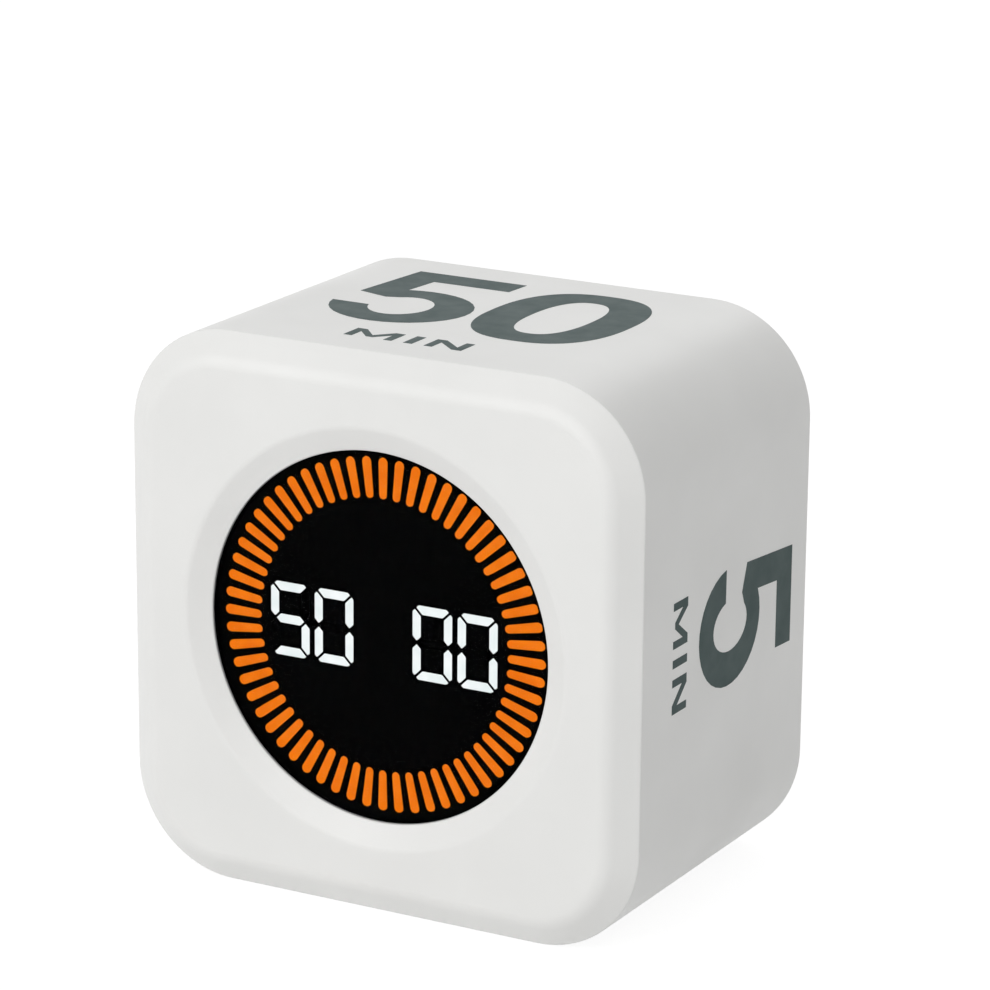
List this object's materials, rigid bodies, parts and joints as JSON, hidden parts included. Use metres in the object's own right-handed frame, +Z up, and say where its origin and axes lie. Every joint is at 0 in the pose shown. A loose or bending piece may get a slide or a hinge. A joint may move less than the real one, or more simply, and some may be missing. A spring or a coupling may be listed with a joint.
{
  "type": "cube timer",
  "caption": "Palm-sized countdown timer in a rounded square case, turned onto one of four sides to pick a time, with a lit ring and digits behind a round window.",
  "frame": {"origin": "middle of the bottom side that the timer stands on, halfway between the front plane and the rear rim", "axes": "+Z up from the side that it stands on, -Y out of the display, +X to the right as seen from the front"},
  "size_m": [0.062, 0.042, 0.062],
  "materials": {
    "case_white": "satin-gloss moulded",
    "smoked_acrylic": "polished",
    "mask_black": "matt",
    "lit_orange": "diffusing",
    "lit_white": "diffusing",
    "reflector_white": "matt",
    "board_green": "lacquered glass-fibre board",
    "chip_black": "moulded matt",
    "control_grey": "satin",
    "socket_ivory": "moulded satin",
    "foam_black": "closed-cell foam",
    "lead_red": "smooth sleeve",
    "lead_black": "smooth sleeve",
    "cable_grey": "satin",
    "cell_foil": "laminated foil",
    "steel": "plain plated"
  },
  "bodies": {
    "case": {"front_bezel": "case_white", "body_shell": "case_white", "rear_cover": "case_white", "window_lens": "smoked_acrylic", "lens_tape": "foam_black", "display_mask": "mask_black", "bar_light_guide": "lit_orange", "minutes_tens_guide": "lit_white", "minutes_units_guide": "lit_white", "seconds_tens_guide": "lit_white", "seconds_units_guide": "lit_white", "light_box": "reflector_white", "display_board": "board_green", "display_driver_chip": "chip_black", "display_cable_socket": "socket_ivory", "display_cable": "cable_grey", "main_cable_socket": "socket_ivory", "battery_foam": "foam_black", "battery_cell": "cell_foil", "battery_lead_red": "lead_red", "battery_lead_black": "lead_black", "battery_plug": "socket_ivory", "battery_socket": "socket_ivory", "main_board": "board_green", "controller_chip": "chip_black", "charger_chip": "chip_black", "orientation_sensor": "chip_black", "clock_crystal": "steel", "buzzer": "chip_black", "buzzer_gasket": "foam_black", "usb_socket_shell": "steel", "usb_socket_tongue": "chip_black", "power_switch_body": "steel", "minute_button_switch_body": "steel", "second_button_switch_body": "steel", "display_screw_1": "steel", "display_screw_2": "steel", "display_screw_3": "steel", "display_screw_4": "steel", "board_screw_1": "steel", "board_screw_2": "steel", "board_screw_3": "steel", "board_screw_4": "steel", "cover_screw_1": "steel", "cover_screw_2": "steel", "cover_screw_3": "steel", "cover_screw_4": "steel"},
    "power_slider": {"power_switch_knob": "control_grey", "power_switch_actuator": "chip_black"},
    "minute_button": {"minute_button_cap": "control_grey", "minute_button_plunger": "chip_black"},
    "second_button": {"second_button_cap": "control_grey", "second_button_plunger": "chip_black"}
  },
  "joints": [
    {"name": "power_slide", "type": "slide", "parent": "case", "child": "power_slider", "axis": [1, 0, 0], "range_m": [-0.002, 0.002]},
    {"name": "minute_press", "type": "slide", "parent": "case", "child": "minute_button", "axis": [0, -1, 0], "range_m": [0, 0.0006], "stiffness_N_per_m": 2000, "springref_m": -0.0003},
    {"name": "second_press", "type": "slide", "parent": "case", "child": "second_button", "axis": [0, -1, 0], "range_m": [0, 0.0006], "stiffness_N_per_m": 2000, "springref_m": -0.0003}
  ]
}
